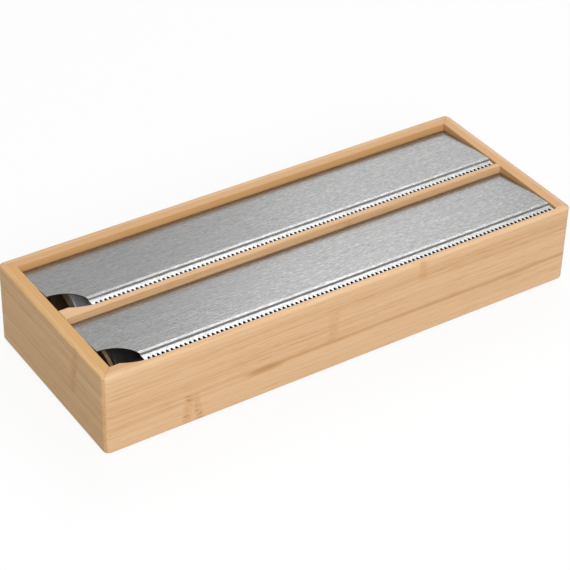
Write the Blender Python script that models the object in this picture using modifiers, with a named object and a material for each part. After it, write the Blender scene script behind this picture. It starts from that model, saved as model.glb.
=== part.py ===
"""Cling film dispenser: a bamboo box of two bays, each with a roll lying in it and a hinged
steel lid whose serrated front edge tears the film. X runs along the box, -Y is the front,
Z is up, and the origin is on the surface that the box stands on, under its middle."""

import math

import bmesh
import bpy
from mathutils import Vector

# Rolls, in metres: a cardboard core with its winding
CORE_RADIUS = 0.0170
CORE_WALL = 0.0013
CORE_EDGE_CUT = 0.0003
CORE_OVERHANG = 0.0020
WINDING_LENGTH = 0.3000
WINDING_EDGE_CUT = 0.0005
FOIL_LAYERS = 0.0035
FILM_LAYERS = 0.0030
ROLL_LIFT = 0.0003
ROLL_REAR_GAP = 0.0006

# Room that the bays leave round the larger roll, and the share of the end room on its left
BAY_END_ROOM = 0.0270
BAY_FRONT_ROOM = 0.01265
BAY_TOP_ROOM = 0.0107
REAR_ROLL_LEFT_SHARE = 0.685
FRONT_ROLL_LEFT_SHARE = 0.437

# Boards of bamboo
WALL_THICKNESS = 0.0095
DIVIDER_THICKNESS = 0.0095
UPRIGHT_EDGE_RADIUS = 0.0040
TOP_EDGE_RADIUS = 0.0018
BOTTOM_EDGE_RADIUS = 0.0010
ARRIS_RADIUS = 0.0005
GLUE_GAP = 0.0001

# Base board, let into a rebate of the walls, and the divider's stub tenons
BASE_THICKNESS = 0.0050
BASE_LET_IN = 0.0040
TENON_LENGTH = 0.0030
TENON_TOP_DROP = 0.0120

# Film slot in the inner top edge of the front board and of the divider
SLOT_WIDTH = 0.0054
SLOT_DEPTH = 0.0090
SLOT_START = 0.0068
SLOT_RUN_IN_RADIUS = 0.0400

# Round pads under the base
PAD_RADIUS = 0.0060
PAD_THICKNESS = 0.0012
PAD_EDGE_RADIUS = 0.0003
PAD_INSET = 0.0180

# Steel lid: a plate that rises to the front, a step down and a serrated flange
SHEET_THICKNESS = 0.0006
LID_END_GAP = 0.0012
LID_REAR_GAP = 0.0015
LID_REAR_DROP = 0.0044
CREST_RISE = 0.0002
CREST_WIDTH = 0.0023
STEP_HEIGHT = 0.0012
STEP_SLANT = 0.0005
FLANGE_REACH = 0.0051
FLANGE_FALL = 0.0004
TIP_GAP = 0.0011
CREST_REAR_BEND = 0.0040
CREST_FRONT_BEND = 0.0007
CREASE_BEND = 0.0004
NOTCH_RADIUS = 0.0202
NOTCH_SETBACK = 0.0018
TOOTH_PITCH = 0.00315
TOOTH_DEPTH = 0.0023
TOOTH_LAND = 0.0006
TOOTH_ROOT_LAND = 0.0009

# Hinge: an ear bent down at each end of the lid turns on a round-head screw
HINGE_SETBACK = 0.0055
HINGE_DROP = 0.0036
EAR_FRONT = 0.0055
EAR_DROP = 0.0040
EAR_CORNER_RADIUS = 0.0010
HEEL_DROP = 0.0018
HEEL_CORNER_RADIUS = 0.0005
EAR_INSET = 0.0001
HEEL_GAP = 0.0003
SCREW_RADIUS = 0.0015
SCREW_DEPTH = 0.0070
SCREW_TIP_LENGTH = 0.0012
SCREW_HEAD_RADIUS = 0.0028
SCREW_HEAD_HEIGHT = 0.0014
SCREW_DRIVE_WIDTH = 0.0006
SCREW_DRIVE_DEPTH = 0.0006
SCREW_SEAT_GAP = 0.0001
HINGE_RUNNING_GAP = 0.0001
HINGE_SIDE_GAP = 0.0002

# Length by which a cutter runs past what it cuts, and the distance within which points merge
CUT_OVERRUN = 0.0020
MERGE_DISTANCE = 0.00001

# A face counts as upright, as a mitre or as a board's end by these shares of its normal
UPRIGHT_SHARE = 0.1
MITRE_SHARE = 0.1
END_SHARE = 0.9

# Profile share at which a bevel is round, and the angle from which an edge stays sharp
ROUND_SHARE = 0.5
SHARP_ANGLE = math.radians(30)

# Numbers of facets
UPRIGHT_EDGE_STEPS = 5
TOP_EDGE_STEPS = 4
BOTTOM_EDGE_STEPS = 2
ARRIS_STEPS = 2
BEND_STEPS = 4
RUN_IN_STEPS = 12
NOTCH_STEPS = 96
SCREW_STEPS = 24
PAD_STEPS = 32
PAD_EDGE_STEPS = 2
ROLL_STEPS = 64

# Sizes that follow from those above: the rolls set the bays, and the bays set the box
FOIL_RADIUS = CORE_RADIUS + FOIL_LAYERS
FILM_RADIUS = CORE_RADIUS + FILM_LAYERS
LARGER_RADIUS = max(FOIL_RADIUS, FILM_RADIUS)
CORE_LENGTH = WINDING_LENGTH + 2 * CORE_OVERHANG
INNER_HALF_LENGTH = (CORE_LENGTH + BAY_END_ROOM) / 2
BAY_DEPTH = ROLL_REAR_GAP + 2 * LARGER_RADIUS + BAY_FRONT_ROOM
INNER_HALF_DEPTH = BAY_DEPTH + DIVIDER_THICKNESS / 2
OUTER_LENGTH = 2 * (INNER_HALF_LENGTH + WALL_THICKNESS)
OUTER_DEPTH = 2 * (INNER_HALF_DEPTH + WALL_THICKNESS)
WALL_HEIGHT = BASE_THICKNESS + ROLL_LIFT + 2 * LARGER_RADIUS + BAY_TOP_ROOM
BAY_REAR_FACES = {"rear": INNER_HALF_DEPTH, "front": -DIVIDER_THICKNESS / 2}
BOX_BOTTOM = PAD_THICKNESS + GLUE_GAP
BOX_TOP = BOX_BOTTOM + WALL_HEIGHT
BAY_FLOOR = BOX_BOTTOM + BASE_THICKNESS
LID_HALF_LENGTH = INNER_HALF_LENGTH - LID_END_GAP
TENON_TOP = BOX_TOP - TENON_TOP_DROP

# Lid profile, as forward distances from the hinge axis and heights under the top of the box
LID_REAR = LID_REAR_GAP - HINGE_SETBACK
LID_TIP = BAY_DEPTH - HINGE_SETBACK + SLOT_WIDTH - TIP_GAP
LID_CREASE = LID_TIP - FLANGE_REACH
LID_CREST_FRONT = LID_CREASE - STEP_SLANT
LID_CREST_REAR = LID_CREST_FRONT - CREST_WIDTH
LID_SLOPE = math.atan2(LID_REAR_DROP + CREST_RISE, LID_CREST_REAR - LID_REAR)
PLATE_TOP_AT_HINGE = BOX_TOP - LID_REAR_DROP - LID_REAR * math.tan(LID_SLOPE)
HINGE_HEIGHT = PLATE_TOP_AT_HINGE - HINGE_DROP / math.cos(LID_SLOPE)

# Colours as linear values, with roughness and metallic value
FINISHES = {
    "bamboo": ((0.68, 0.45, 0.25), 0.45, 0.0),
    "brushed_steel": ((0.55, 0.55, 0.55), 0.32, 1.0),
    "screw_steel": ((0.45, 0.45, 0.44), 0.35, 1.0),
    "cardboard": ((0.40, 0.27, 0.16), 0.85, 0.0),
    "foil": ((0.72, 0.73, 0.75), 0.25, 1.0),
    "cling_film": ((0.60, 0.64, 0.62), 0.12, 0.0),
    "pad_rubber": ((0.05, 0.05, 0.05), 0.80, 0.0),
}


def clear_scene():
    for obj in list(bpy.data.objects):
        bpy.data.objects.remove(obj, do_unlink=True)


def new_collection(name):
    collection = bpy.data.collections.new(name)
    bpy.context.scene.collection.children.link(collection)
    return collection


def new_material(name):
    colour, roughness, metallic = FINISHES[name]
    material = bpy.data.materials.new(name)
    material.use_nodes = True
    shader = material.node_tree.nodes["Principled BSDF"]
    shader.inputs["Base Color"].default_value = (*colour, 1.0)
    shader.inputs["Roughness"].default_value = roughness
    shader.inputs["Metallic"].default_value = metallic
    material.diffuse_color = (*colour, 1.0)
    return material


def add_part(name, mesh, finish, location=(0, 0, 0), rotation=(0, 0, 0)):
    """A sub-part with a material of its own, in the collection of the parts."""
    obj = bpy.data.objects.new(name, mesh)
    mesh.materials.clear()
    mesh.materials.append(new_material(finish))
    obj.location = location
    obj.rotation_euler = rotation
    PARTS.objects.link(obj)
    return obj


def add_cutter(name, mesh, location=(0, 0, 0), rotation=(0, 0, 0)):
    obj = bpy.data.objects.new(name, mesh)
    obj.location = location
    obj.rotation_euler = rotation
    obj.display_type = "WIRE"
    obj.hide_render = True
    CUTTERS.objects.link(obj)
    return obj


def box_mesh(low, high):
    """A box between two corners."""
    low = Vector(low)
    high = Vector(high)
    mesh = bpy.data.meshes.new("box")
    form = bmesh.new()
    bmesh.ops.create_cube(form, size=1.0)
    bmesh.ops.scale(form, vec=high - low, verts=form.verts)
    bmesh.ops.translate(form, vec=(low + high) / 2, verts=form.verts)
    form.to_mesh(mesh)
    form.free()
    return mesh


def cylinder_mesh(radius, length, steps):
    """A cylinder along Z, with its middle at the origin."""
    mesh = bpy.data.meshes.new("cylinder")
    form = bmesh.new()
    bmesh.ops.create_cone(
        form, cap_ends=True, segments=steps, radius1=radius, radius2=radius, depth=length
    )
    form.to_mesh(mesh)
    form.free()
    return mesh


def outline_mesh(points, thickness):
    """A flat outline in the XY plane, thickened evenly to both sides of it."""
    curve = bpy.data.curves.new("outline", "CURVE")
    curve.dimensions = "2D"
    curve.fill_mode = "BOTH"
    curve.extrude = thickness / 2
    spline = curve.splines.new("POLY")
    spline.points.add(len(points) - 1)
    for place, (x, y) in zip(spline.points, points):
        place.co = (x, y, 0, 1)
    spline.use_cyclic_u = True
    holder = bpy.data.objects.new("outline", curve)
    bpy.context.scene.collection.objects.link(holder)
    graph = bpy.context.evaluated_depsgraph_get()
    mesh = bpy.data.meshes.new_from_object(holder.evaluated_get(graph))
    bpy.data.objects.remove(holder, do_unlink=True)
    form = bmesh.new()
    form.from_mesh(mesh)
    bmesh.ops.remove_doubles(form, verts=form.verts, dist=MERGE_DISTANCE)
    bmesh.ops.recalc_face_normals(form, faces=form.faces)
    form.to_mesh(mesh)
    form.free()
    return mesh


def rounded(points, radii, closed):
    """The points with each corner of a given radius replaced by an arc."""
    result = []
    for index, (here, radius) in enumerate(zip(points, radii)):
        inside = closed or 0 < index < len(points) - 1
        if radius == 0 or not inside:
            result.append(Vector(here))
            continue
        before = (Vector(points[index - 1]) - Vector(here)).normalized()
        after = (Vector(points[(index + 1) % len(points)]) - Vector(here)).normalized()
        half_angle = before.angle(after) / 2
        run = radius / math.tan(half_angle)
        middle = (before + after).normalized() * (radius / math.sin(half_angle))
        start = before * run - middle
        end = after * run - middle
        for step in range(BEND_STEPS + 1):
            arm = start.slerp(end, step / BEND_STEPS)
            result.append(Vector(here) + middle + arm * radius)
    return result


def boolean(obj, operation, cutter):
    modifier = obj.modifiers.new(cutter.name, "BOOLEAN")
    modifier.operation = operation
    modifier.object = cutter
    return modifier


def freeze(obj):
    """Replaces an object's mesh with what its modifiers make of it."""
    graph = bpy.context.evaluated_depsgraph_get()
    made = bpy.data.meshes.new_from_object(obj.evaluated_get(graph))
    obj.modifiers.clear()
    obj.data = made


def smooth(obj):
    """Shades the round faces smooth and keeps the edges of the flat ones sharp."""
    obj.data.shade_smooth()
    obj.data.set_sharp_from_angle(angle=SHARP_ANGLE)


def outer_block_mesh():
    """The whole box as a solid block with its outer edges rounded."""
    mesh = box_mesh(
        (-OUTER_LENGTH / 2, -OUTER_DEPTH / 2, BOX_BOTTOM),
        (OUTER_LENGTH / 2, OUTER_DEPTH / 2, BOX_TOP),
    )
    form = bmesh.new()
    form.from_mesh(mesh)
    upright = [e for e in form.edges if abs(e.verts[0].co.z - e.verts[1].co.z) > WALL_HEIGHT / 2]
    bevel(form, upright, UPRIGHT_EDGE_RADIUS, UPRIGHT_EDGE_STEPS)
    bevel(form, rim_edges(form, BOX_TOP), TOP_EDGE_RADIUS, TOP_EDGE_STEPS)
    bevel(form, rim_edges(form, BOX_BOTTOM), BOTTOM_EDGE_RADIUS, BOTTOM_EDGE_STEPS)
    form.to_mesh(mesh)
    form.free()
    return mesh


def bevel(form, edges, radius, steps):
    bmesh.ops.bevel(
        form, geom=edges, offset=radius, segments=steps, profile=ROUND_SHARE, affect="EDGES"
    )


def rim_edges(form, height):
    """The edges that lie at a height."""
    return [e for e in form.edges if all(abs(v.co.z - height) < MERGE_DISTANCE for v in e.verts)]


def ease_mouth(obj, is_joint):
    """Rounds the arris between a board's top and its upright faces, but not at its joints."""
    form = bmesh.new()
    form.from_mesh(obj.data)
    chosen = []
    for edge in rim_edges(form, BOX_TOP):
        sides = [face.normal for face in edge.link_faces if abs(face.normal.z) < UPRIGHT_SHARE]
        if len(sides) == 1 and not is_joint(sides[0]):
            chosen.append(edge)
    bevel(form, chosen, ARRIS_RADIUS, ARRIS_STEPS)
    form.to_mesh(obj.data)
    form.free()


def is_mitre(normal):
    return abs(abs(normal.x) - abs(normal.y)) < MITRE_SHARE


def is_end(normal):
    return abs(normal.x) > END_SHARE


def mitred_outline(half_inner, inner_face):
    """Plan of a wall that faces -Y, wider than the box outside, with mitred ends."""
    gap = GLUE_GAP / 2 * math.sqrt(2)
    outer_run = WALL_THICKNESS + CUT_OVERRUN
    near = half_inner - gap
    far = half_inner + outer_run - gap
    return [
        (-near, -inner_face),
        (near, -inner_face),
        (far, -inner_face - outer_run),
        (-far, -inner_face - outer_run),
    ]


def slot_cutter(name, front_face):
    """The film slot's cutter: a curved run-in at the left, then straight to the right end."""
    wall = front_face - SLOT_WIDTH
    centre_y = wall + SLOT_RUN_IN_RADIUS
    run_in = math.sqrt(SLOT_RUN_IN_RADIUS**2 - (SLOT_RUN_IN_RADIUS - SLOT_WIDTH) ** 2)
    centre_x = -INNER_HALF_LENGTH + SLOT_START + run_in
    widest = math.acos((SLOT_RUN_IN_RADIUS - SLOT_WIDTH - CUT_OVERRUN) / SLOT_RUN_IN_RADIUS)
    points = [(INNER_HALF_LENGTH, front_face + CUT_OVERRUN)]
    for step in range(RUN_IN_STEPS + 1):
        angle = widest * (1 - step / RUN_IN_STEPS)
        points.append(
            (
                centre_x - SLOT_RUN_IN_RADIUS * math.sin(angle),
                centre_y - SLOT_RUN_IN_RADIUS * math.cos(angle),
            )
        )
    points.append((INNER_HALF_LENGTH, wall))
    height = SLOT_DEPTH + CUT_OVERRUN
    middle = BOX_TOP - SLOT_DEPTH + height / 2
    return add_cutter(name, outline_mesh(points, height), (0, 0, middle))


def base_rebate_cutter():
    reach_x = INNER_HALF_LENGTH + BASE_LET_IN + GLUE_GAP
    reach_y = INNER_HALF_DEPTH + BASE_LET_IN + GLUE_GAP
    return add_cutter(
        "base_rebate_cut",
        box_mesh(
            (-reach_x, -reach_y, BOX_BOTTOM - CUT_OVERRUN),
            (reach_x, reach_y, BAY_FLOOR + GLUE_GAP),
        ),
    )


def housing_cutter():
    """The stopped housings that take the divider's tenons, as one bar through both ends."""
    reach_x = INNER_HALF_LENGTH + TENON_LENGTH + GLUE_GAP
    reach_y = DIVIDER_THICKNESS / 2 + GLUE_GAP
    return add_cutter(
        "divider_housing_cut",
        box_mesh((-reach_x, -reach_y, BAY_FLOOR), (reach_x, reach_y, TENON_TOP + GLUE_GAP)),
    )


def hinge_places():
    """Bay, end, side and depth position of each hinge screw."""
    for bay, rear_face in BAY_REAR_FACES.items():
        for end, side in (("left", -1), ("right", 1)):
            yield bay, end, side, rear_face - HINGE_SETBACK


def screw_hole_cutters(side):
    length = SCREW_DEPTH + SCREW_SEAT_GAP + CUT_OVERRUN
    middle = INNER_HALF_LENGTH + SCREW_DEPTH + SCREW_SEAT_GAP - length / 2
    for bay, end, own_side, axis_y in hinge_places():
        if own_side == side:
            yield add_cutter(
                f"{bay}_{end}_screw_hole_cut",
                cylinder_mesh(SCREW_RADIUS + SCREW_SEAT_GAP, length, SCREW_STEPS),
                (side * middle, axis_y, HINGE_HEIGHT),
                (0, math.pi / 2, 0),
            )


def add_wall(name, half_inner, inner_face, turn, block, rebate, cutters):
    """One mitred board of the frame: turned about Z to its side, then cut."""
    height = WALL_HEIGHT + 2 * CUT_OVERRUN
    mesh = outline_mesh(mitred_outline(half_inner, inner_face), height)
    wall = add_part(name, mesh, "bamboo", (0, 0, (BOX_TOP + BOX_BOTTOM) / 2), (0, 0, turn))
    boolean(wall, "INTERSECT", block)
    boolean(wall, "DIFFERENCE", rebate)
    for cutter in cutters:
        boolean(wall, "DIFFERENCE", cutter)
    freeze(wall)
    wall.data.transform(wall.matrix_world)
    wall.matrix_world.identity()
    ease_mouth(wall, is_mitre)
    smooth(wall)


def build_walls():
    block = add_cutter("outer_block", outer_block_mesh())
    rebate = base_rebate_cutter()
    housing = housing_cutter()
    front_slot = slot_cutter("front_slot_cut", -INNER_HALF_DEPTH)
    long_wall = (INNER_HALF_LENGTH, INNER_HALF_DEPTH)
    short_wall = (INNER_HALF_DEPTH, INNER_HALF_LENGTH)
    right_cuts = [housing, *screw_hole_cutters(1)]
    left_cuts = [housing, *screw_hole_cutters(-1)]
    add_wall("front_panel", *long_wall, 0, block, rebate, [front_slot])
    add_wall("right_end_panel", *short_wall, math.pi / 2, block, rebate, right_cuts)
    add_wall("back_panel", *long_wall, math.pi, block, rebate, [])
    add_wall("left_end_panel", *short_wall, -math.pi / 2, block, rebate, left_cuts)


def build_base():
    reach_x = INNER_HALF_LENGTH + BASE_LET_IN
    reach_y = INNER_HALF_DEPTH + BASE_LET_IN
    mesh = box_mesh((-reach_x, -reach_y, BOX_BOTTOM), (reach_x, reach_y, BAY_FLOOR))
    add_part("base_panel", mesh, "bamboo")


def build_divider():
    """The board between the bays: shoulders at its upper ends, tenons below them."""
    reach_x = INNER_HALF_LENGTH + TENON_LENGTH
    half = DIVIDER_THICKNESS / 2
    mesh = box_mesh((-reach_x, -half, BAY_FLOOR + GLUE_GAP), (reach_x, half, BOX_TOP))
    divider = add_part("divider", mesh, "bamboo")
    for side in (-1, 1):
        shoulder = sorted([side * (INNER_HALF_LENGTH - GLUE_GAP), side * (reach_x + CUT_OVERRUN)])
        cutter = box_mesh(
            (shoulder[0], -half - CUT_OVERRUN, TENON_TOP),
            (shoulder[1], half + CUT_OVERRUN, BOX_TOP + CUT_OVERRUN),
        )
        boolean(divider, "DIFFERENCE", add_cutter(f"divider_shoulder_cut_{side}", cutter))
    boolean(divider, "DIFFERENCE", slot_cutter("divider_slot_cut", half))
    freeze(divider)
    ease_mouth(divider, is_end)
    smooth(divider)


def build_pads():
    reach_x = OUTER_LENGTH / 2 - PAD_INSET
    reach_y = OUTER_DEPTH / 2 - PAD_INSET
    for row, side_y in (("front", -1), ("rear", 1)):
        for end, side_x in (("left", -1), ("right", 1)):
            place = (side_x * reach_x, side_y * reach_y, PAD_THICKNESS / 2)
            mesh = cylinder_mesh(PAD_RADIUS, PAD_THICKNESS, PAD_STEPS)
            pad = add_part(f"{row}_{end}_pad", mesh, "pad_rubber", place)
            rounding = pad.modifiers.new("edge", "BEVEL")
            rounding.width = PAD_EDGE_RADIUS
            rounding.segments = PAD_EDGE_STEPS
            rounding.limit_method = "ANGLE"


def lid_profile():
    """The sheet's upper side from its rear edge to past its teeth, seen from the hinge axis."""
    top = BOX_TOP - HINGE_HEIGHT
    crest = top + CREST_RISE
    flange_slope = FLANGE_FALL / FLANGE_REACH
    end = LID_TIP + CUT_OVERRUN
    corners = [
        (LID_REAR, top - LID_REAR_DROP),
        (LID_CREST_REAR, crest),
        (LID_CREST_FRONT, crest),
        (LID_CREASE, crest - STEP_HEIGHT),
        (end, crest - STEP_HEIGHT - (end - LID_CREASE) * flange_slope),
    ]
    bends = [0, CREST_REAR_BEND, CREST_FRONT_BEND, CREASE_BEND, 0]
    return rounded(corners, bends, closed=False)


def lid_sheet_mesh():
    """The bent sheet as an open surface, its upper side up."""
    form = bmesh.new()
    rows = []
    for forward, height in lid_profile():
        left = form.verts.new((-LID_HALF_LENGTH, -forward, height))
        right = form.verts.new((LID_HALF_LENGTH, -forward, height))
        rows.append((left, right))
    for rear, front in zip(rows, rows[1:]):
        form.faces.new((rear[0], front[0], front[1], rear[1]))
    mesh = bpy.data.meshes.new("lid_sheet")
    form.to_mesh(mesh)
    form.free()
    return mesh


def ear_mesh():
    """An ear in the plane of its outline: it hangs from the plate, and its heel points back."""
    plate = (HINGE_DROP - SHEET_THICKNESS / 2) / math.cos(LID_SLOPE)
    rear = LID_REAR + SHEET_THICKNESS / 2
    heel = HEEL_GAP - HINGE_SETBACK
    rise = math.tan(LID_SLOPE)
    corners = [
        (rear, plate + rear * rise),
        (rear, 0),
        (heel, -HEEL_DROP),
        (heel, -EAR_DROP),
        (EAR_FRONT, -EAR_DROP),
        (EAR_FRONT, plate + EAR_FRONT * rise),
    ]
    bends = [0, 0, HEEL_CORNER_RADIUS, EAR_CORNER_RADIUS, EAR_CORNER_RADIUS, 0]
    return outline_mesh(rounded(corners, bends, closed=True), SHEET_THICKNESS)


def teeth_outline():
    """The space in front of the flange: its rear side runs from tooth to tooth."""
    first = -LID_HALF_LENGTH + NOTCH_RADIUS + TOOTH_PITCH / 2
    count = int((LID_HALF_LENGTH - first) / TOOTH_PITCH)
    tip = -LID_TIP
    root = tip + TOOTH_DEPTH
    front = tip - 2 * CUT_OVERRUN
    left = -LID_HALF_LENGTH - CUT_OVERRUN
    right = LID_HALF_LENGTH + CUT_OVERRUN
    points = [(right, front), (left, front), (left, tip)]
    for index in range(count + 1):
        centre = first + index * TOOTH_PITCH
        points.append((centre - TOOTH_LAND / 2, tip))
        points.append((centre + TOOTH_LAND / 2, tip))
        if index < count:
            valley = centre + TOOTH_PITCH / 2
            points.append((valley - TOOTH_ROOT_LAND / 2, root))
            points.append((valley + TOOTH_ROOT_LAND / 2, root))
    points.append((right, tip))
    return points


def build_lid(bay):
    """One lid, with its origin on its hinge axis."""
    axis_y = BAY_REAR_FACES[bay] - HINGE_SETBACK
    place = Vector((0, axis_y, HINGE_HEIGHT))
    lid = add_part(f"{bay}_lid", lid_sheet_mesh(), "brushed_steel", place)
    shell = lid.modifiers.new("sheet", "SOLIDIFY")
    shell.thickness = SHEET_THICKNESS
    shell.offset = -1
    shell.use_even_offset = True
    for end, side in (("left", -1), ("right", 1)):
        middle = side * (LID_HALF_LENGTH - EAR_INSET - SHEET_THICKNESS / 2)
        ear = add_cutter(
            f"{bay}_lid_{end}_ear",
            ear_mesh(),
            place + Vector((middle, 0, 0)),
            (math.pi / 2, 0, -math.pi / 2),
        )
        boolean(lid, "UNION", ear)
    hole = cylinder_mesh(
        (SCREW_RADIUS + HINGE_RUNNING_GAP) / math.cos(math.pi / SCREW_STEPS),
        2 * (LID_HALF_LENGTH + CUT_OVERRUN),
        SCREW_STEPS,
    )
    turn = (0, math.pi / 2, 0)
    boolean(lid, "DIFFERENCE", add_cutter(f"{bay}_lid_hole_cut", hole, place, turn))
    height = 4 * STEP_HEIGHT + LID_REAR_DROP
    notch = cylinder_mesh(NOTCH_RADIUS, 2 * height, NOTCH_STEPS)
    corner = Vector((-LID_HALF_LENGTH, axis_y - LID_TIP + NOTCH_SETBACK, BOX_TOP))
    boolean(lid, "DIFFERENCE", add_cutter(f"{bay}_notch_cut", notch, corner))
    teeth = add_cutter(
        f"{bay}_teeth_cut", outline_mesh(teeth_outline(), 2 * height), (0, axis_y, BOX_TOP)
    )
    boolean(lid, "DIFFERENCE", teeth)
    smooth(lid)
    return lid


def turned_mesh(points):
    """An open or closed profile in the XZ plane, to be turned about Z."""
    form = bmesh.new()
    verts = [form.verts.new((radius, 0, height)) for radius, height in points]
    for before, after in zip(verts, verts[1:]):
        form.edges.new((before, after))
    if points[0][0] > 0:
        form.edges.new((verts[-1], verts[0]))
    mesh = bpy.data.meshes.new("profile")
    form.to_mesh(mesh)
    form.free()
    return mesh


def turn_profile(obj, steps):
    modifier = obj.modifiers.new("turn", "SCREW")
    modifier.axis = "Z"
    modifier.angle = 2 * math.pi
    modifier.steps = steps
    modifier.render_steps = steps
    modifier.use_merge_vertices = True
    modifier.merge_threshold = MERGE_DISTANCE
    modifier.use_smooth_shade = True


def screw_profile():
    """Round-head screw, its head's seat at the origin and its tip below."""
    shank = SCREW_DEPTH + LID_END_GAP + EAR_INSET + SHEET_THICKNESS + HINGE_SIDE_GAP
    points = []
    for step in range(BEND_STEPS + 1):
        angle = math.pi / 2 * step / BEND_STEPS
        points.append((SCREW_HEAD_RADIUS * math.sin(angle), SCREW_HEAD_HEIGHT * math.cos(angle)))
    points.append((SCREW_RADIUS, 0))
    points.append((SCREW_RADIUS, SCREW_TIP_LENGTH - shank))
    points.append((0, -shank))
    return points


def build_hinge_screws():
    seat = LID_HALF_LENGTH - EAR_INSET - SHEET_THICKNESS - HINGE_SIDE_GAP
    for bay, end, side, axis_y in hinge_places():
        name = f"{bay}_{end}_hinge_screw"
        place = (side * seat, axis_y, HINGE_HEIGHT)
        turn = (0, -side * math.pi / 2, 0)
        screw = add_part(name, turned_mesh(screw_profile()), "screw_steel", place, turn)
        turn_profile(screw, SCREW_STEPS)
        reach = SCREW_HEAD_RADIUS + CUT_OVERRUN
        half = SCREW_DRIVE_WIDTH / 2
        low = (-half, -reach, SCREW_HEAD_HEIGHT - SCREW_DRIVE_DEPTH)
        high = (half, reach, SCREW_HEAD_HEIGHT + CUT_OVERRUN)
        drive = add_cutter(f"{name}_drive_cut", box_mesh(low, high), place, turn)
        boolean(screw, "DIFFERENCE", drive)


def ring_profile(outer, inner, length, edge):
    """A tube's wall, from its top down its outer side, with its outer edges cut off."""
    half = length / 2
    return [
        (inner, half),
        (outer - edge, half),
        (outer, half - edge),
        (outer, edge - half),
        (outer - edge, -half),
        (inner, -half),
    ]


def build_roll(bay, winding_name, finish, radius, left_share):
    """A core and its winding, both turning about the roll's own axis."""
    place = (
        (left_share - 1 / 2) * BAY_END_ROOM,
        BAY_REAR_FACES[bay] - ROLL_REAR_GAP - radius,
        BAY_FLOOR + ROLL_LIFT + radius,
    )
    turn = (0, math.pi / 2, 0)
    core = ring_profile(CORE_RADIUS, CORE_RADIUS - CORE_WALL, CORE_LENGTH, CORE_EDGE_CUT)
    tube = add_part(f"{bay}_core", turned_mesh(core), "cardboard", place, turn)
    turn_profile(tube, ROLL_STEPS)
    layers = ring_profile(radius, CORE_RADIUS + GLUE_GAP, WINDING_LENGTH, WINDING_EDGE_CUT)
    winding = add_part(winding_name, turned_mesh(layers), finish, place, turn)
    turn_profile(winding, ROLL_STEPS)


clear_scene()
PARTS = new_collection("cling_film_dispenser")
CUTTERS = new_collection("cutters")
build_walls()
build_base()
build_divider()
build_pads()
build_lid("rear")
build_lid("front")
build_hinge_screws()
build_roll("rear", "rear_foil_winding", "foil", FOIL_RADIUS, REAR_ROLL_LEFT_SHARE)
build_roll("front", "front_film_winding", "cling_film", FILM_RADIUS, FRONT_ROLL_LEFT_SHARE)
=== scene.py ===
"""The looks of the cling film dispenser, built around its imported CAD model.

The wood, the lids, the screws, the pads and the cardboard cores are the CAD nodes with procedural
materials. The two windings are replaced by finer wound meshes. All lengths are in metres.
"""
import math

import bmesh
import bpy
from mathutils import Matrix, Vector, noise


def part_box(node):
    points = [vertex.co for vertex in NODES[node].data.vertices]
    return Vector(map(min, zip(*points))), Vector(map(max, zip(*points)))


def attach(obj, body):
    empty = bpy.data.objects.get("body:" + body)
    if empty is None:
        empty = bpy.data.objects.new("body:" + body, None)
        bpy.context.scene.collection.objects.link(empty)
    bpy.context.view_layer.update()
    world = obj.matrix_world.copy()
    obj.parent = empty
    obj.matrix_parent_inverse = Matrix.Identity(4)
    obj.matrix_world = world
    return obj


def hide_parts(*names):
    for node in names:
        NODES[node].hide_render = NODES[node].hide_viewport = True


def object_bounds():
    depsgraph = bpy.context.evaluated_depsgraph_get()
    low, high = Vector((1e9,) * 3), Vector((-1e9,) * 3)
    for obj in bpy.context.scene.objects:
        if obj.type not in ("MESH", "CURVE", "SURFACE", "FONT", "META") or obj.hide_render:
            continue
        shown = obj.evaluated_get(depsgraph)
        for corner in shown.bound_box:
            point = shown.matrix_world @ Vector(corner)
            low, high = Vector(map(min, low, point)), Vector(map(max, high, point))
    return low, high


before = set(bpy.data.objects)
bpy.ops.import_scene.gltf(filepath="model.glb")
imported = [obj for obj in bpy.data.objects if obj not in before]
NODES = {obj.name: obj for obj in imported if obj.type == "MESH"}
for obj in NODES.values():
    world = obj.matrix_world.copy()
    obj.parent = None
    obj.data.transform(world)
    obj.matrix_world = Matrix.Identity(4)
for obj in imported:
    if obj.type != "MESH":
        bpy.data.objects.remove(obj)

CAD_LOW, CAD_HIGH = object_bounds()


# Camera at the photo's place

CAMERA_PLACE = (-0.589766, -0.869353, 0.777773)
CAMERA_RIGHT = (0.837902, -0.545380, 0.021933)
CAMERA_UP = (0.304862, 0.500953, 0.810003)
CAMERA_FORWARD = (0.452747, 0.672017, -0.586015)
CAMERA_LENS = 125.62
SENSOR_WIDTH = 36.0
CLIP_END = 60.0


def add_camera():
    data = bpy.data.cameras.new("camera")
    data.lens = CAMERA_LENS
    data.sensor_width = SENSOR_WIDTH
    data.clip_end = CLIP_END
    camera = bpy.data.objects.new("camera", data)
    back = -Vector(CAMERA_FORWARD)
    axes = Matrix((CAMERA_RIGHT, CAMERA_UP, back)).transposed().to_4x4()
    camera.matrix_world = Matrix.Translation(CAMERA_PLACE) @ axes
    bpy.context.scene.collection.objects.link(camera)
    bpy.context.scene.camera = camera


# Node trees

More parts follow.
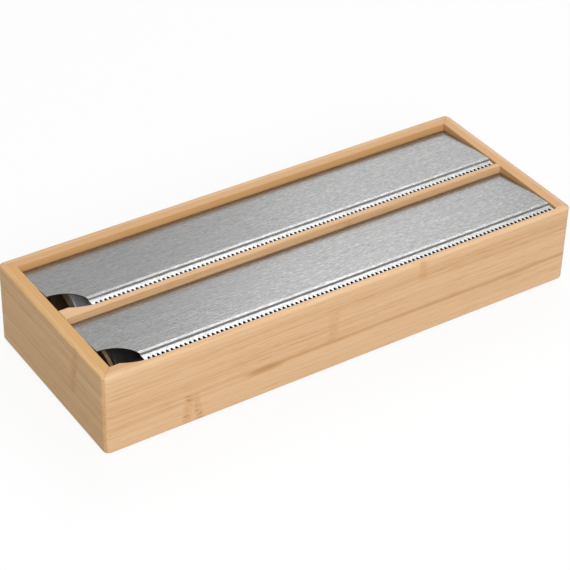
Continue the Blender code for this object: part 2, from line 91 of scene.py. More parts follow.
class Graph:
    """A material's node tree, with short calls for the nodes that the materials here use."""

    def __init__(self, name):
        self.material = bpy.data.materials.new(name)
        self.material.use_nodes = True
        self.tree = self.material.node_tree
        self.tree.nodes.clear()
        output = self.tree.nodes.new("ShaderNodeOutputMaterial")
        self.shader = self.tree.nodes.new("ShaderNodeBsdfPrincipled")
        self.tree.links.new(self.shader.outputs[0], output.inputs[0])
        self.place = self.tree.nodes.new("ShaderNodeTexCoord").outputs["Object"]
        split = self.tree.nodes.new("ShaderNodeSeparateXYZ")
        self.tree.links.new(self.place, split.inputs[0])
        self.axis = dict(zip("xyz", split.outputs))

    def plug(self, socket, value):
        if isinstance(value, bpy.types.NodeSocket):
            self.tree.links.new(value, socket)
        else:
            socket.default_value = value

    def math(self, operation, first, second=0.0):
        node = self.tree.nodes.new("ShaderNodeMath")
        node.operation = operation
        self.plug(node.inputs[0], first)
        self.plug(node.inputs[1], second)
        return node.outputs[0]

    def add(self, first, second):
        return self.math("ADD", first, second)

    def sub(self, first, second):
        return self.math("SUBTRACT", first, second)

    def mul(self, first, second):
        return self.math("MULTIPLY", first, second)

    def around_zero(self, value, weight):
        """A noise value, whose mean is one half, moved to a mean of zero and weighted."""
        return self.mul(self.sub(value, 0.5), weight)

    def length(self, first, second):
        squares = self.add(self.mul(first, first), self.mul(second, second))
        return self.math("SQRT", squares)

    def step(self, value, low, high):
        """0 under low, 1 over high, smooth between them; also falls when low is above high."""
        node = self.tree.nodes.new("ShaderNodeMapRange")
        node.interpolation_type = "SMOOTHSTEP"
        ends = (1.0, 0.0) if low > high else (0.0, 1.0)
        for name, number in (("From Min", min(low, high)), ("From Max", max(low, high)),
                             ("To Min", ends[0]), ("To Max", ends[1])):
            node.inputs[name].default_value = number
        self.plug(node.inputs["Value"], value)
        return node.outputs["Result"]

    def band(self, value, middle, half, soft):
        """1 within half of the middle, falling to 0 over the distance soft."""
        away = self.math("ABSOLUTE", self.sub(value, middle))
        return self.step(away, half + soft, half)

    def vector(self, x, y, z):
        node = self.tree.nodes.new("ShaderNodeCombineXYZ")
        for socket, value in zip(node.inputs, (x, y, z)):
            self.plug(socket, value)
        return node.outputs[0]

    def stretched(self, x, y, z):
        """The object's coordinates, each times its own factor."""
        return self.vector(self.mul(self.axis["x"], x), self.mul(self.axis["y"], y),
                           self.mul(self.axis["z"], z))

    def noise(self, where, scale=1.0, detail=2.0, roughness=0.5):
        node = self.tree.nodes.new("ShaderNodeTexNoise")
        self.plug(node.inputs["Vector"], where)
        node.inputs["Scale"].default_value = scale
        node.inputs["Detail"].default_value = detail
        node.inputs["Roughness"].default_value = roughness
        return node.outputs[0]

    def ramp(self, value, stops, constant=False):
        """stops is a list of (position, (red, green, blue)) or (position, grey)."""
        node = self.tree.nodes.new("ShaderNodeValToRGB")
        ramp = node.color_ramp
        ramp.interpolation = "CONSTANT" if constant else "LINEAR"
        while len(ramp.elements) < len(stops):
            ramp.elements.new(1.0)
        for element, (position, colour) in zip(ramp.elements, stops):
            element.position = position
            if not isinstance(colour, tuple):
                colour = (colour, colour, colour)
            element.color = (*colour, 1.0)
        self.plug(node.inputs[0], value)
        return node.outputs[0]

    def blend(self, share, first, second, how="MIX"):
        node = self.tree.nodes.new("ShaderNodeMix")
        node.data_type = "RGBA"
        node.blend_type = how
        # the colour sockets of this node come after its number and vector sockets
        for index, value in ((0, share), (6, first), (7, second)):
            if isinstance(value, tuple) and len(value) == 3:
                value = (*value, 1.0)
            self.plug(node.inputs[index], value)
        return node.outputs[2]

    def bump(self, height, distance, strength):
        node = self.tree.nodes.new("ShaderNodeBump")
        node.inputs["Strength"].default_value = strength
        node.inputs["Distance"].default_value = distance
        self.plug(node.inputs["Height"], height)
        self.plug(self.shader.inputs["Normal"], node.outputs[0])

    def set(self, **values):
        """Sets the shader's sockets; an underscore in a name stands for a space."""
        for name, value in values.items():
            self.plug(self.shader.inputs[name.replace("_", " ")], value)


# Bamboo

STRIP_BORDERS = (0.0231, 0.0439)
STRIP_RANGE = (-0.08, 0.08)
STRIP_SHIFT = 31.0
OUTER_PLY = 0.0045

BAMBOO_LIGHT = (0.740, 0.492, 0.292)
BAMBOO_MIDDLE = (0.672, 0.420, 0.228)
BAMBOO_DARK = (0.540, 0.300, 0.135)
BAMBOO_INNER_PLY = (0.585, 0.315, 0.120)
# paler edge colour: partly wear, partly a painted highlight on the rounded edges
BAMBOO_WEAR_AND_HIGHLIGHT = (0.800, 0.575, 0.365)
KNUCKLE_BROWN = (0.385, 0.190, 0.068)
KNUCKLE_TINT = (0.560, 0.285, 0.110)
VEIN_BROWN = (0.475, 0.245, 0.085)
GLUE_LINE_BROWN = (0.420, 0.230, 0.100)

# half heights and soft edges of the glue lines between strips and between plies
GLUE_LINE_HALF = 0.00012
GLUE_LINE_SOFT = 0.0003
PLY_LINE_HALF = 0.00015
PLY_LINE_SOFT = 0.0001

# waves per metre along and across the fibres, detail and roughness of each grain noise
BROAD_BANDS = (3.0, 95.0, 2.0, 0.5)
FIBRES = (9.0, 620.0, 3.0, 0.6)
DASHES = (70.0, 1500.0, 1.0, 0.5)
FINE_FIBRES = (14.0, 1700.0, 2.0, 0.6)

# how much each grain noise changes the tone
BROAD_WEIGHT = 1.1
FIBRE_WEIGHT = 0.95
FINE_WEIGHT = 1.0
DASH_WEIGHT = 0.34

# waves per metre of the other noises: along and across the fibres where there are two numbers
WANDER_WAVES = (5.0, 22.0)
VEIN_WAVES = 16.0
VEIN_RIPPLES = (60.0, 1100.0)
KNUCKLE_ROWS = 900.0
KNUCKLE_BREAKS = (260.0, 520.0)
EDGE_PATCH_WAVES = 55.0

# the noise values between which a mark fades in
DASH_FADE = (0.57, 0.72)
ROW_FADE = (0.48, 0.60)
BREAK_FADE = (0.40, 0.58)
EDGE_PATCH_FADE = (0.35, 0.65)

# how far each mark covers the colour under it
INNER_PLY_SHARE = 0.72
PLY_LINE_SHARE = 0.30
GLUE_LINE_SHARE = 0.22
KNUCKLE_TINT_SHARE = 0.38
KNUCKLE_SPOT_SHARE = 0.60
PORE_SHARE = 0.80
WEAR_AND_HIGHLIGHT_SHARE = 0.20

FIBRE_WANDER = 0.0045
VEIN_WANDER = 0.0016
VEIN_SOFT_EDGE = 0.0007
VEIN_TAPER = 0.022
KNUCKLE_SOFT_END = 0.0008
WEAR_AND_HIGHLIGHT_REACH = 0.0030
WEAR_AND_HIGHLIGHT_CORE = 0.0008


def bamboo(name, grain, across, through, seed, borders, tones, ply=None, knuckles=(), veins=(),
           rim=(), pores=(), tint=None):
    """A laminated bamboo board.

    grain, across and through are the axes along the fibres, across the strips and through the
    plies. borders are the places between strips, with one tone for each strip. ply is
    (place, side) of the inner ply. knuckles are (along, low, high, lean, width, strength), veins
    are (start, end, place, half height, strength), rim lists edges as
    (axis, place, axis, place), pores are (along, side, radius), and tint multiplies the colour.
    """
    g = Graph(name)
    along, side, deep = (g.axis[letter] for letter in (grain, across, through))

    # the fibres wander a little
    drift = g.noise(g.vector(g.mul(along, WANDER_WAVES[0]), g.mul(side, WANDER_WAVES[1]), seed),
                    detail=1.0)
    bent = g.add(side, g.around_zero(drift, FIBRE_WANDER))

    # each strip is a piece of its own: its own tone, and fibres that don't carry over
    low, high = STRIP_RANGE
    places = [0.0] + [(border - low) / (high - low) for border in borders]
    strip = g.ramp(g.mul(g.sub(side, low), 1.0 / (high - low)), list(zip(places, tones)),
                   constant=True)
    shift = g.mul(strip, STRIP_SHIFT)

    def streaks(along_scale, across_scale, detail, roughness):
        where = g.vector(g.mul(along, along_scale), g.add(g.mul(bent, across_scale), shift),
                         g.add(g.mul(deep, across_scale), seed))
        return g.noise(where, detail=detail, roughness=roughness)

    broad = streaks(*BROAD_BANDS)
    fibre = streaks(*FIBRES)
    dashes = g.step(streaks(*DASHES), *DASH_FADE)
    fine = streaks(*FINE_FIBRES)
    tone = g.add(g.around_zero(broad, BROAD_WEIGHT), g.around_zero(fibre, FIBRE_WEIGHT))
    tone = g.add(tone, g.around_zero(fine, FINE_WEIGHT))
    tone = g.sub(g.add(tone, strip), g.mul(dashes, DASH_WEIGHT))
    colour = g.ramp(tone, [(0.0, BAMBOO_DARK), (0.5, BAMBOO_MIDDLE), (1.0, BAMBOO_LIGHT)])

    if ply:
        place, sign = ply
        inner = g.step(deep, place - sign * PLY_LINE_SOFT, place + sign * PLY_LINE_SOFT)
        colour = g.blend(g.mul(inner, INNER_PLY_SHARE), colour, BAMBOO_INNER_PLY)
        line = g.band(deep, place, PLY_LINE_HALF, PLY_LINE_SOFT)
        colour = g.blend(g.mul(line, PLY_LINE_SHARE), colour, GLUE_LINE_BROWN)

    for border in borders:
        line = g.band(side, border, GLUE_LINE_HALF, GLUE_LINE_SOFT)
        colour = g.blend(g.mul(line, GLUE_LINE_SHARE), colour, GLUE_LINE_BROWN)

    # veins: ragged darker streaks that thin out towards their ends
    for start, end, place, half, strength in veins:
        wave = g.noise(g.vector(g.mul(along, VEIN_WAVES), seed, place * 1000.0), detail=3.0)
        off = g.sub(g.sub(bent, place), g.around_zero(wave, VEIN_WANDER))
        ripple = g.noise(g.vector(g.mul(along, VEIN_RIPPLES[0]), g.mul(bent, VEIN_RIPPLES[1]),
                                  seed), detail=2.0)
        ragged = g.around_zero(ripple, half * 1.2)
        taper = min((end - start) * 0.45, VEIN_TAPER)
        ends = g.mul(g.step(along, start, start + taper), g.step(along, end, end - taper))
        thinner = g.mul(g.sub(1.0, ends), half)
        away = g.add(g.add(g.math("ABSOLUTE", off), ragged), thinner)
        body = g.step(away, half + VEIN_SOFT_EDGE, half * 0.4)
        mask = g.mul(g.mul(body, ends), g.add(0.65, g.mul(g.step(fibre, 0.25, 0.60), 0.35)))
        colour = g.blend(g.mul(mask, strength), colour, VEIN_BROWN)

    # knuckles: a leaning tinted band with rows of short brown spots
    marks = None
    for place, low_end, high_end, lean, width, strength in knuckles:
        middle = (low_end + high_end) / 2
        slanted = g.sub(along, g.add(place, g.mul(g.sub(side, middle), lean)))
        near = g.step(g.math("ABSOLUTE", slanted), width, width * 0.15)
        inside = g.mul(g.step(side, low_end, low_end + KNUCKLE_SOFT_END),
                       g.step(side, high_end, high_end - KNUCKLE_SOFT_END))
        rows = g.noise(g.vector(seed, g.mul(bent, KNUCKLE_ROWS), place * 500.0), detail=0.0)
        breaks = g.noise(g.vector(g.mul(along, KNUCKLE_BREAKS[0]),
                                  g.mul(side, KNUCKLE_BREAKS[1]), seed), detail=1.0)
        here = g.mul(g.mul(near, inside), strength)
        spots = g.mul(here, g.mul(g.step(rows, *ROW_FADE), g.step(breaks, *BREAK_FADE)))
        colour = g.blend(g.mul(here, KNUCKLE_TINT_SHARE), colour, KNUCKLE_TINT)
        colour = g.blend(g.mul(spots, KNUCKLE_SPOT_SHARE), colour, KNUCKLE_BROWN)
        marks = spots if marks is None else g.math("MAXIMUM", marks, spots)

    for place, height, radius in pores:
        away = g.length(g.sub(along, place), g.sub(side, height))
        pore = g.step(away, radius, radius * 0.6)
        colour = g.blend(g.mul(pore, PORE_SHARE), colour, KNUCKLE_BROWN)

    # edges a little paler, more in some places than in others: partly rubbed by handling, partly a
    # painted highlight on the rounded edges
    wear_and_highlight = None
    for first, first_place, second, second_place in rim:
        away = g.add(g.math("ABSOLUTE", g.sub(g.axis[first], first_place)),
                     g.math("ABSOLUTE", g.sub(g.axis[second], second_place)))
        edge = g.step(away, WEAR_AND_HIGHLIGHT_REACH, WEAR_AND_HIGHLIGHT_CORE)
        wear_and_highlight = edge if wear_and_highlight is None else g.math("MAXIMUM", wear_and_highlight, edge)
    if wear_and_highlight is not None:
        edge_patches = g.noise(g.place, scale=EDGE_PATCH_WAVES, detail=3.0)
        wear_and_highlight = g.mul(wear_and_highlight, g.step(edge_patches, *EDGE_PATCH_FADE))
        colour = g.blend(g.mul(wear_and_highlight, WEAR_AND_HIGHLIGHT_SHARE), colour, BAMBOO_WEAR_AND_HIGHLIGHT)
    if tint:
        colour = g.blend(1.0, colour, tint, how="MULTIPLY")

    g.set(Base_Color=colour, Specular_IOR_Level=0.35,
          Roughness=g.add(0.47, g.around_zero(fibre, 0.22)))
    height = g.sub(g.mul(fibre, 0.6), g.mul(dashes, 0.5))
    if marks is not None:
        height = g.sub(height, g.mul(marks, 0.5))
    g.bump(height, 0.00009, 0.55)
    return g.material


def dress(node, material):
    """Gives a CAD node its material, without touching its mesh."""
    for slot in NODES[node].material_slots:
        slot.material = material


def wall_rim(axis, outside, sides):
    """The outer edges of a wall: its top, its two upright edges and its foot."""
    foot, top = (corner.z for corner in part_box("front_panel"))
    across, first, last = sides
    return ((axis, outside, "z", top), (axis, outside, across, first),
            (axis, outside, across, last), (axis, outside, "z", foot))


def dress_boards():
    front, back, left, right = CAD_LOW.y, CAD_HIGH.y, CAD_LOW.x, CAD_HIGH.x
    foot, top = (corner.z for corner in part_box("front_panel"))
    lower, upper = STRIP_BORDERS
    dress("front_panel", bamboo(
        "bamboo_front", "x", "z", "y", 3.1, STRIP_BORDERS, (0.64, 0.54, 0.62),
        ply=(front + OUTER_PLY, 1),
        knuckles=((-0.1185, foot, lower, 0.10, 0.0045, 0.95),
                  (-0.1115, foot, lower, -0.16, 0.0040, 0.85),
                  (-0.0130, lower, upper, 0.05, 0.0055, 0.55),
                  (0.0550, upper, top, -0.10, 0.0050, 0.95)),
        veins=((-0.082, 0.210, 0.0217, 0.0010, 0.66), (-0.088, -0.038, 0.0206, 0.0027, 0.85),
               (0.060, 0.190, 0.0432, 0.0008, 0.30), (-0.180, -0.112, 0.0432, 0.0007, 0.28),
               (-0.190, -0.110, 0.0185, 0.0016, 0.22), (0.115, 0.150, 0.0200, 0.0014, 0.25)),
        rim=wall_rim("y", front, ("x", left, right)),
        pores=((-0.1718, 0.0152, 0.0005), (0.1712, 0.0436, 0.0004))))
    dress("back_panel", bamboo(
        "bamboo_back", "x", "z", "y", 11.7, STRIP_BORDERS, (0.52, 0.60, 0.48),
        ply=(back - OUTER_PLY, -1),
        knuckles=((0.0900, foot, lower, 0.12, 0.0050, 0.75),
                  (0.0230, lower, upper, -0.10, 0.0055, 0.70),
                  (-0.0870, upper, top, 0.10, 0.0050, 0.60)),
        veins=((-0.190, 0.030, 0.0245, 0.0009, 0.40), (0.045, 0.190, 0.0420, 0.0008, 0.30),
               (-0.060, -0.020, 0.0120, 0.0015, 0.30)),
        rim=wall_rim("y", back, ("x", left, right))))
    # painted shade: the left panel's strip tones are the lowest of all boards, the top strip
    # lowest, for light falling off to the left
    dress("left_end_panel", bamboo(
        "bamboo_left", "y", "z", "x", 23.9, STRIP_BORDERS, (0.40, 0.36, 0.33),
        ply=(left + OUTER_PLY, 1),
        knuckles=((-0.0335, upper, top, -0.12, 0.0050, 1.1),
                  (-0.0300, lower, upper, -0.16, 0.0055, 1.3)),
        veins=((-0.080, 0.020, 0.0224, 0.0006, 0.35), (0.010, 0.075, 0.0452, 0.0009, 0.25)),
        rim=wall_rim("x", left, ("y", front, back)),
        tint=(1.03, 1.02, 0.86)))
    dress("right_end_panel", bamboo(
        "bamboo_right", "y", "z", "x", 37.3, STRIP_BORDERS, (0.48, 0.60, 0.52),
        ply=(right - OUTER_PLY, -1),
        knuckles=((0.0260, foot, lower, 0.10, 0.0050, 0.80),
                  (-0.0200, upper, top, 0.10, 0.0050, 0.60)),
        veins=((-0.080, 0.000, 0.0430, 0.0008, 0.35), (0.000, 0.080, 0.0222, 0.0008, 0.35)),
        rim=wall_rim("x", right, ("y", front, back))))
    dress("divider", bamboo(
        "bamboo_divider", "x", "z", "y", 41.3, STRIP_BORDERS, (0.50, 0.50, 0.50),
        knuckles=((0.0410, upper, top, 0.05, 0.0050, 0.50),
                  (-0.0750, lower, upper, 0.05, 0.0050, 0.50)),
        veins=((-0.140, 0.060, 0.0560, 0.0006, 0.25),)))
    dress("base_panel", bamboo(
        "bamboo_base", "x", "y", "z", 53.9, (-0.036, -0.014, 0.009, 0.033),
        (0.50, 0.58, 0.46, 0.60, 0.52),
        knuckles=((0.0700, -0.070, -0.036, 0.10, 0.0050, 0.70),
                  (-0.0410, -0.036, -0.014, -0.10, 0.0050, 0.70),
                  (0.0150, -0.014, 0.009, 0.10, 0.0050, 0.60),
                  (-0.1150, 0.009, 0.033, 0.10, 0.0050, 0.70),
                  (0.1240, 0.033, 0.070, -0.10, 0.0050, 0.70)),
        veins=((-0.150, 0.050, -0.0150, 0.0010, 0.35), (-0.020, 0.170, 0.0345, 0.0010, 0.30))))


# Metal

STEEL_DARK = (0.150, 0.149, 0.148)
STEEL_GREY = (0.246, 0.245, 0.244)
STEEL_BRIGHT = (0.400, 0.399, 0.398)
SCREW_DARK = (0.30, 0.30, 0.31)
SCREW_BRIGHT = (0.56, 0.56, 0.57)
FOIL_DULL = (0.66, 0.68, 0.71)
FOIL_BRIGHT = (0.86, 0.88, 0.91)


def brushed_steel():
    """Sheet steel brushed along x, in short overlapping strokes."""
    g = Graph("brushed_steel")
    wide = g.noise(g.stretched(7.0, 30.0, 30.0), detail=2.0)
    line = g.noise(g.stretched(22.0, 1900.0, 1900.0), detail=2.0, roughness=0.6)
    fleck = g.noise(g.stretched(300.0, 950.0, 950.0), detail=2.0, roughness=0.65)
    bright = g.step(fleck, 0.50, 0.72)
    tone = g.add(g.add(g.around_zero(line, 0.35), g.around_zero(fleck, 1.15)), 0.5)
    colour = g.ramp(tone, [(0.0, STEEL_DARK), (0.5, STEEL_GREY), (1.0, STEEL_BRIGHT)])
    rough = g.add(0.25, g.around_zero(line, 0.16))
    rough = g.add(rough, g.around_zero(wide, 0.08))
    rough = g.sub(rough, g.mul(bright, 0.07))
    g.set(Base_Color=colour, Metallic=1.0, Roughness=rough)
    g.bump(g.add(g.mul(fleck, 0.9), g.mul(line, 0.3)), 0.00010, 0.50)
    return g.material


def screw_steel():
    """A turned screw: fine rings around x, and small spots."""
    g = Graph("screw_steel")
    turned = g.noise(g.stretched(4200.0, 300.0, 300.0), detail=2.0)
    spots = g.noise(g.place, scale=900.0, detail=3.0)
    colour = g.ramp(g.add(g.mul(turned, 0.6), g.mul(spots, 0.4)),
                    [(0.25, SCREW_DARK), (0.75, SCREW_BRIGHT)])
    g.set(Base_Color=colour, Metallic=1.0, Roughness=g.add(0.24, g.mul(turned, 0.16)))
    g.bump(turned, 0.00004, 0.6)
    return g.material


def foil():
    """Household foil, a little dull, with roll marks around the winding and fine creases."""
    g = Graph("foil")
    roll = g.noise(g.stretched(260.0, 40.0, 40.0), detail=3.0)
    crease = g.noise(g.place, scale=320.0, detail=4.0, roughness=0.6)
    colour = g.ramp(roll, [(0.3, FOIL_DULL), (0.7, FOIL_BRIGHT)])
    g.set(Base_Color=colour, Metallic=0.55, Roughness=g.add(0.30, g.around_zero(roll, 0.22)))
    g.bump(g.add(g.mul(crease, 0.7), g.mul(roll, 0.3)), 0.00020, 0.6)
    return g.material


# Cardboard, film and rubber

CARDBOARD_DARK = (0.235, 0.150, 0.086)
CARDBOARD_MIDDLE = (0.345, 0.235, 0.145)
CARDBOARD_LIGHT = (0.455, 0.325, 0.215)
CARDBOARD_SEAM = (0.175, 0.105, 0.058)
SEAM_PITCH = 0.046
# painted shade: the clear film is coloured near black for the dark bay it lies in
FILM_PAINTED_SHADE_DARK = (0.016, 0.015, 0.015)
FILM_PAINTED_SHADE_PALE = (0.050, 0.048, 0.047)
RUBBER_DARK = (0.030, 0.030, 0.031)
RUBBER_LIGHT = (0.072, 0.071, 0.070)


def cardboard(name, centre, seed, painted_shade):
    """A spiral-wound paper tube: plies show as rings on its ends, and one seam winds around it.

    centre is the (y, z) of its axis; the last argument is painted shade that multiplies the
    colour.
    """
    g = Graph(name)
    x, y, z = g.axis.values()
    out_y, out_z = g.sub(y, centre[0]), g.sub(z, centre[1])
    radius = g.length(out_y, out_z)
    angle = g.math("ARCTAN2", out_z, out_y)
    turn = g.math("FRACT", g.add(g.mul(x, 1 / SEAM_PITCH), g.mul(angle, 1 / math.tau)))
    seam = g.band(turn, 0.5, 0.006, 0.012)
    fibre = g.noise(g.vector(g.mul(x, 350.0), g.mul(y, 350.0), g.add(g.mul(z, 350.0), seed)),
                    detail=4.0, roughness=0.65)
    cloud = g.noise(g.place, scale=60.0, detail=2.0)
    rings = g.noise(g.vector(g.mul(radius, 5200.0), seed, 0.0), detail=1.0)
    tone = g.add(g.mul(fibre, 0.5), g.add(g.mul(cloud, 0.25), g.mul(rings, 0.25)))
    colour = g.ramp(tone, [(0.30, CARDBOARD_DARK), (0.5, CARDBOARD_MIDDLE),
                           (0.70, CARDBOARD_LIGHT)])
    colour = g.blend(g.mul(seam, 0.5), colour, CARDBOARD_SEAM)
    # painted shade: the whole tube darkened by the given factor
    colour = g.blend(1.0, colour, (painted_shade, painted_shade, painted_shade), how="MULTIPLY")
    g.set(Base_Color=colour, Roughness=g.add(0.72, g.mul(fibre, 0.20)), Specular_IOR_Level=0.3)
    g.bump(g.sub(fibre, g.mul(seam, 0.8)), 0.00008, 0.6)
    return g.material


def cling_film():
    """Many clear layers over a dark bay, painted near black as the bay's shade; wet gloss on the
    surface.
    """
    g = Graph("cling_film")
    wrap = g.noise(g.stretched(190.0, 22.0, 22.0), detail=3.0)
    haze = g.noise(g.place, scale=70.0, detail=3.0)
    colour = g.ramp(g.add(g.mul(wrap, 0.6), g.mul(haze, 0.4)),
                    [(0.3, FILM_PAINTED_SHADE_DARK), (0.7, FILM_PAINTED_SHADE_PALE)])
    g.set(Base_Color=colour, Roughness=g.add(0.10, g.mul(haze, 0.16)), IOR=1.49,
          Coat_Weight=0.35, Coat_Roughness=0.06)
    g.bump(wrap, 0.00012, 0.5)
    return g.material


def pad_rubber():
    g = Graph("pad_rubber")
    grain = g.noise(g.place, scale=1600.0, detail=3.0, roughness=0.6)
    dust = g.noise(g.place, scale=230.0, detail=4.0)
    colour = g.ramp(g.add(g.mul(grain, 0.35), g.mul(dust, 0.65)),
                    [(0.3, RUBBER_DARK), (0.7, RUBBER_LIGHT)])
    g.set(Base_Color=colour, Roughness=g.add(0.62, g.mul(grain, 0.25)))
    g.bump(grain, 0.00005, 0.6)
    return g.material


# Windings

SPIRAL_STEP = 0.00010
BORE_GAP = 0.00005
END_RINGS = 14
END_TWIST = 40
POINTS_AROUND = 120

# how deep the marks in the windings' surfaces go
FOIL_BASE = 0.00005
FOIL_DENTS = 0.00014
FOIL_RIDGES = 0.00005
FILM_BANDS = 0.00006
FILM_SLACK = 0.00010


def winding(name, node, core, material, rows, relief, end_relief, tail_angle):
    """A wound roll in place of its CAD winding: a spiral skin with its free edge, layered ends.

    relief(x, angle) and end_relief(ring, angle) give how far a point sinks from the CAD surface.
    """
    low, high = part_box(node)
    outer = (high.z - low.z) / 2
    centre_y, centre_z = (low.y + high.y) / 2, (low.z + high.z) / 2
    core_low, core_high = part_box(core)
    bore = (core_high.z - core_low.z) / 2 + BORE_GAP
    mesh = bmesh.new()

    def ring(x_of, radius_of):
        made = []
        for index in range(POINTS_AROUND):
            angle = math.tau * index / POINTS_AROUND
            radius = radius_of(angle)
            made.append(mesh.verts.new((x_of(angle), centre_y + radius * math.cos(angle),
                                        centre_z + radius * math.sin(angle))))
        return made

    def spiral(angle):
        return SPIRAL_STEP * ((angle - tail_angle) % math.tau) / math.tau

    rings = []
    for end, sign in ((low.x, 1), (high.x, -1)):
        layers = []
        for index in range(END_RINGS + 1):
            share = index / END_RINGS
            radius = bore + (outer - bore) * share
            layers.append(ring(
                lambda angle: end + sign * end_relief(index, angle + end * END_TWIST),
                lambda angle: radius - (spiral(angle) + relief(end, angle)) * share))
        rings.append(layers if sign == 1 else layers[::-1])
    skin = []
    for index in range(1, rows):
        x = low.x + (high.x - low.x) * index / rows
        skin.append(ring(lambda angle: x, lambda angle: outer - spiral(angle) - relief(x, angle)))
    loop = rings[0] + skin + rings[1]
    for first, second in zip(loop, loop[1:] + loop[:1]):
        for index in range(POINTS_AROUND):
            after = (index + 1) % POINTS_AROUND
            mesh.faces.new((first[index], first[after], second[after], second[index]))
    bmesh.ops.recalc_face_normals(mesh, faces=mesh.faces)
    data = bpy.data.meshes.new(name)
    mesh.to_mesh(data)
    mesh.free()
    for face in data.polygons:
        face.use_smooth = True
    data.materials.append(material)
    piece = bpy.data.objects.new(name, data)
    bpy.context.scene.collection.objects.link(piece)
    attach(piece, node.split("_")[0] + "_roll")
    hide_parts(node)


def foil_relief(x, angle):
    """Shallow dents and sharp creases, as foil has after some metres are pulled off."""
    place = Vector((x * 55.0, math.cos(angle) * 1.2, math.sin(angle) * 1.2))
    near, _ = noise.voronoi(place)
    ridge = max(0.0, 1.0 - (near[1] - near[0]) * 4.0)
    dent = 0.5 + 0.5 * noise.noise(place * 0.7)
    return FOIL_BASE + FOIL_DENTS * dent - FOIL_RIDGES * ridge


def film_relief(x, angle):
    """Soft bands where the film was stretched more or less as it was wound."""
    band = 0.5 + 0.5 * noise.noise(Vector((x * 120.0, 0.3, 0.7)))
    place = Vector((x * 26.0, math.cos(angle) * 0.9, math.sin(angle) * 0.9))
    slack = 0.5 + 0.5 * noise.noise(place)
    return FILM_BANDS * band + FILM_SLACK * slack


def layered_end(depth, seed):
    """The relief of a winding's end, where the layers stand out by up to depth."""
    def relief(index, angle):
        wobble = noise.noise(Vector((index * 1.7 + seed, math.cos(angle), math.sin(angle))))
        return depth * (0.5 + 0.5 * wobble) if 0 < index < END_RINGS else depth * 0.3
    return relief


# Stage and light

FLOOR_REACH = 12.0
FLOOR_GREY = (0.42, 0.42, 0.42, 1)
FLOOR_PALE = (0.92, 0.92, 0.92, 1)
FLOOR_GLOW_SHARE = 0.86
WORLD_LIGHT = 0.42
WHITE = (1, 1, 1, 1)


def add_floor():
    """A floor that lights the object as grey, and looks white with the object's faint shadow."""
    mesh = bpy.data.meshes.new("floor")
    corners = [(x * FLOOR_REACH, y * FLOOR_REACH, 0)
               for x, y in ((-1, -1), (1, -1), (1, 1), (-1, 1))]
    mesh.from_pydata(corners, [], [(0, 1, 2, 3)])
    floor = bpy.data.objects.new("floor", mesh)
    bpy.context.scene.collection.objects.link(floor)
    material = bpy.data.materials.new("floor")
    material.use_nodes = True
    tree = material.node_tree
    tree.nodes.clear()
    output = tree.nodes.new("ShaderNodeOutputMaterial")
    plain = tree.nodes.new("ShaderNodeBsdfDiffuse")
    plain.inputs["Color"].default_value = FLOOR_GREY
    glow = tree.nodes.new("ShaderNodeEmission")
    glow.inputs["Color"].default_value = WHITE
    pale = tree.nodes.new("ShaderNodeBsdfDiffuse")
    pale.inputs["Color"].default_value = FLOOR_PALE
    seen = tree.nodes.new("ShaderNodeMixShader")
    seen.inputs[0].default_value = FLOOR_GLOW_SHARE
    tree.links.new(pale.outputs[0], seen.inputs[1])
    tree.links.new(glow.outputs[0], seen.inputs[2])
    mix = tree.nodes.new("ShaderNodeMixShader")
    tree.links.new(direct_rays(tree), mix.inputs[0])
    tree.links.new(plain.outputs[0], mix.inputs[1])
    tree.links.new(seen.outputs[0], mix.inputs[2])
    tree.links.new(mix.outputs[0], output.inputs[0])
    mesh.materials.append(material)


def direct_rays(tree):
    """1 for camera, glossy and transmission rays, which see the white surroundings as they are."""
    path = tree.nodes.new("ShaderNodeLightPath")
    total = path.outputs["Is Camera Ray"]
    for name in ("Is Glossy Ray", "Is Transmission Ray"):
        node = tree.nodes.new("ShaderNodeMath")
        node.operation = "MAXIMUM"
        tree.links.new(total, node.inputs[0])
        tree.links.new(path.outputs[name], node.inputs[1])
        total = node.outputs[0]
    return total


def add_world():
    world = bpy.data.worlds.new("world")
    bpy.context.scene.world = world
    world.use_nodes = True
    tree = world.node_tree
    tree.nodes.clear()
    output = tree.nodes.new("ShaderNodeOutputWorld")
    background = tree.nodes.new("ShaderNodeBackground")
    background.inputs["Color"].default_value = WHITE
    level = tree.nodes.new("ShaderNodeMapRange")
    level.inputs["To Min"].default_value = WORLD_LIGHT
    level.inputs["To Max"].default_value = 1.0
    tree.links.new(direct_rays(tree), level.inputs["Value"])
    tree.links.new(level.outputs["Result"], background.inputs["Strength"])
    tree.links.new(background.outputs[0], output.inputs[0])


LAMP_AIM = Vector((0, 0, 0.03))

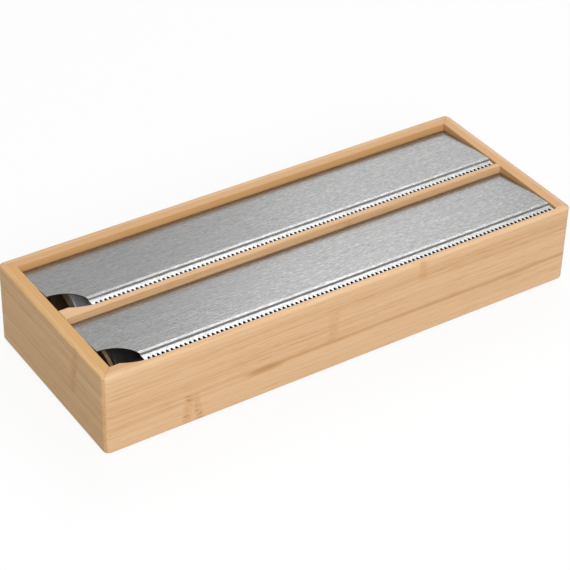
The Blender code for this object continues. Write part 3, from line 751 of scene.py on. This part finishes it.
# name, azimuth, elevation, distance, width, height, radiance, seen in reflections
# The key lights the wood. The other three stand where the lids mirror them to the camera.
LAMPS = (("key", -108, 36, 2.4, 1.5, 1.2, 8.5, False),
         ("steel_top", 51, 51, 2.0, 1.05, 0.75, 3.5, True),
         ("steel_crest", 53, 35.6, 2.0, 0.65, 0.14, 5.0, True),
         ("steel_right", 53.5, 24, 2.0, 0.44, 0.6, 0.7, True))


def add_softbox(name, azimuth, elevation, distance, width, height, radiance, glossy):
    """A rectangular lamp aimed at the box. azimuth is from +x towards +y, angles in degrees."""
    turn, rise = math.radians(azimuth), math.radians(elevation)
    level = math.cos(rise)
    place = Vector((math.cos(turn) * level, math.sin(turn) * level, math.sin(rise)))
    data = bpy.data.lights.new(name, "AREA")
    data.shape = "RECTANGLE"
    data.size, data.size_y = width, height
    data.energy = radiance * math.pi * width * height
    lamp = bpy.data.objects.new(name, data)
    lamp.location = place * distance + LAMP_AIM
    lamp.rotation_euler = place.to_track_quat("Z", "Y").to_euler()
    lamp.visible_camera = False
    lamp.visible_glossy = glossy
    bpy.context.scene.collection.objects.link(lamp)


def add_lights():
    add_world()
    for lamp in LAMPS:
        add_softbox(*lamp)


def dress_all():
    dress_boards()
    steel = brushed_steel()
    screw = screw_steel()
    rubber = pad_rubber()
    for bay in ("rear", "front"):
        dress(f"{bay}_lid", steel)
        for end in ("left", "right"):
            dress(f"{bay}_{end}_hinge_screw", screw)
            dress(f"{bay}_{end}_pad", rubber)
    # the rear core is painted far darker than the front one: painted shade of the rear bay
    for roll, seed, painted_shade in (("rear", 2.0, 0.42), ("front", 9.0, 0.90)):
        low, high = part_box(f"{roll}_core")
        centre = ((low.y + high.y) / 2, (low.z + high.z) / 2)
        dress(f"{roll}_core", cardboard(f"cardboard_{roll}", centre, seed, painted_shade))


add_camera()
add_floor()
add_lights()
dress_all()
winding("foil_roll_skin", "rear_foil_winding", "rear_core", foil(), 260,
        foil_relief, layered_end(0.0005, 3.0), math.radians(200))
winding("film_roll_skin", "front_film_winding", "front_core", cling_film(), 200,
        film_relief, layered_end(0.0004, 8.0), math.radians(160))

bpy.context.scene.view_settings.view_transform = "Standard"
